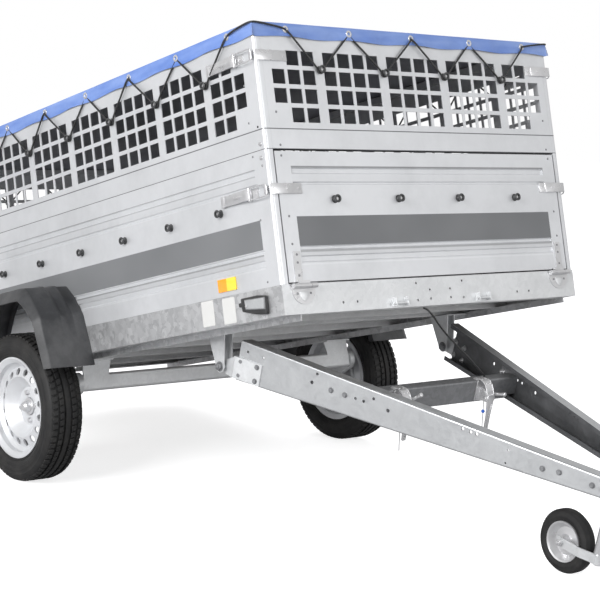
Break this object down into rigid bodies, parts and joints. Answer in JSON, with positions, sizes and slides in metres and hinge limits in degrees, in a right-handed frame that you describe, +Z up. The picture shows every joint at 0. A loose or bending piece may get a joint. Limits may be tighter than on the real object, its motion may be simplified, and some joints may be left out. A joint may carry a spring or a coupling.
{
  "type": "utility trailer",
  "caption": "Single-axle box trailer with mesh side extensions, flat tarpaulin cover, tilting bed, hinged A-frame drawbar and jockey wheel.",
  "frame": {"origin": "centre of the footprint box on the floor", "axes": "+X to the trailer's left, +Y rearwards along the trailer, +Z up"},
  "size_m": [1.726, 3.9066, 1.6446],
  "materials": {
    "zinc_sheet": "light grey zinc-coated sheet, semi-matt, faint spangle",
    "galvanised": "hot-dip galvanised steel with grey spangle",
    "mesh_steel": "zinc-coated punched sheet",
    "plywood": "brown film-faced plywood",
    "tarp_fabric": "blue coated tarpaulin, slightly shiny",
    "black_plastic": "black moulded plastic",
    "guard_plastic": "dark grey moulded plastic with fine grain",
    "tyre_rubber": "black tyre rubber",
    "rim_silver": "silver painted steel rim",
    "hub_steel": "bright zinc-plated hub, cap and wheel bolts",
    "amber_lens": "amber reflector lens",
    "lamp_housing": "black rubber lamp housing with a clear lens",
    "red_lens": "red and amber lamp lens",
    "bright_zinc": "bright zinc-plated hardware",
    "clasp_steel": "bright steel clasps"
  },
  "bodies": {
    "bed": {"side_rail_right": "galvanised", "side_rail_left": "galvanised", "front_beam": "galvanised", "rear_beam": "galvanised", "cross_members": "galvanised", "floor": "plywood", "side_panel_right": "zinc_sheet", "side_panel_left": "zinc_sheet", "mesh_right": "mesh_steel", "mesh_left": "mesh_steel", "mesh_front": "mesh_steel", "mesh_rear": "mesh_steel", "tarpaulin": "tarp_fabric", "tie_knobs": "black_plastic", "corner_clasps": "clasp_steel", "mudguard_right": "guard_plastic", "mudguard_left": "guard_plastic", "axle_beam": "galvanised", "axle_arms": "galvanised", "front_marker_lamps": "lamp_housing", "rear_lamps": "red_lens", "side_markers": "amber_lens", "tilt_bracket_right": "galvanised", "tilt_bracket_left": "galvanised", "gate_hinge_bases": "bright_zinc"},
    "front_gate_body": {"front_gate": "zinc_sheet", "front_gate_leaves": "bright_zinc", "front_gate_knobs": "black_plastic"},
    "tail_gate_body": {"tail_gate": "zinc_sheet", "tail_gate_leaves": "bright_zinc", "tail_gate_knobs": "black_plastic"},
    "drawbar": {"drawbar_arm_right": "galvanised", "drawbar_arm_left": "galvanised", "hinge_plates": "galvanised", "drawbar_crossbeam": "galvanised", "tilt_latches": "bright_zinc", "coupling_head": "bright_zinc", "coupling_lever": "bright_zinc", "jockey_bracket": "galvanised", "jockey_tube": "bright_zinc"},
    "wheel_right": {"tyre_right": "tyre_rubber", "rim_right": "rim_silver", "hub_right": "hub_steel"},
    "wheel_left": {"tyre_left": "tyre_rubber", "rim_left": "rim_silver", "hub_left": "hub_steel"},
    "jockey_leg_body": {"jockey_leg": "bright_zinc"},
    "jockey_fork_body": {"jockey_fork": "bright_zinc"},
    "jockey_wheel": {"jockey_tyre": "tyre_rubber", "jockey_rim": "rim_silver"}
  },
  "joints": [
    {"name": "drawbar_tilt", "type": "hinge", "parent": "bed", "child": "drawbar", "pos_m": [0, -0.15961, 0.52182], "axis": [1, 0, 0], "range_deg": [-25.7, 5.2]},
    {"name": "front_gate_hinge", "type": "hinge", "parent": "bed", "child": "front_gate_body", "pos_m": [0, -0.63114, 0.84744], "axis": [1, 0, 0], "range_deg": [0, 90]},
    {"name": "tail_gate_hinge", "type": "hinge", "parent": "bed", "child": "tail_gate_body", "pos_m": [0, 1.75758, 0.243], "axis": [-1, 0, 0], "range_deg": [0, 90]},
    {"name": "wheel_right_spin", "type": "hinge", "parent": "bed", "child": "wheel_right", "pos_m": [-0.761, 0.66792, 0.266], "axis": [1, 0, 0], "continuous": true},
    {"name": "wheel_left_spin", "type": "hinge", "parent": "bed", "child": "wheel_left", "pos_m": [0.761, 0.66792, 0.266], "axis": [1, 0, 0], "continuous": true},
    {"name": "jockey_height", "type": "slide", "parent": "drawbar", "child": "jockey_leg_body", "axis": [0, -0.1994, 0.9799], "range_m": [-0.12, 0.13]},
    {"name": "jockey_swivel", "type": "hinge", "parent": "jockey_leg_body", "child": "jockey_fork_body", "pos_m": [0.025, -1.32969, 0.05332], "axis": [0, -0.1994, 0.9799], "continuous": true},
    {"name": "jockey_wheel_spin", "type": "hinge", "parent": "jockey_fork_body", "child": "jockey_wheel", "pos_m": [0.025, -1.21061, 0.1], "axis": [1, 0, 0], "continuous": true}
  ]
}
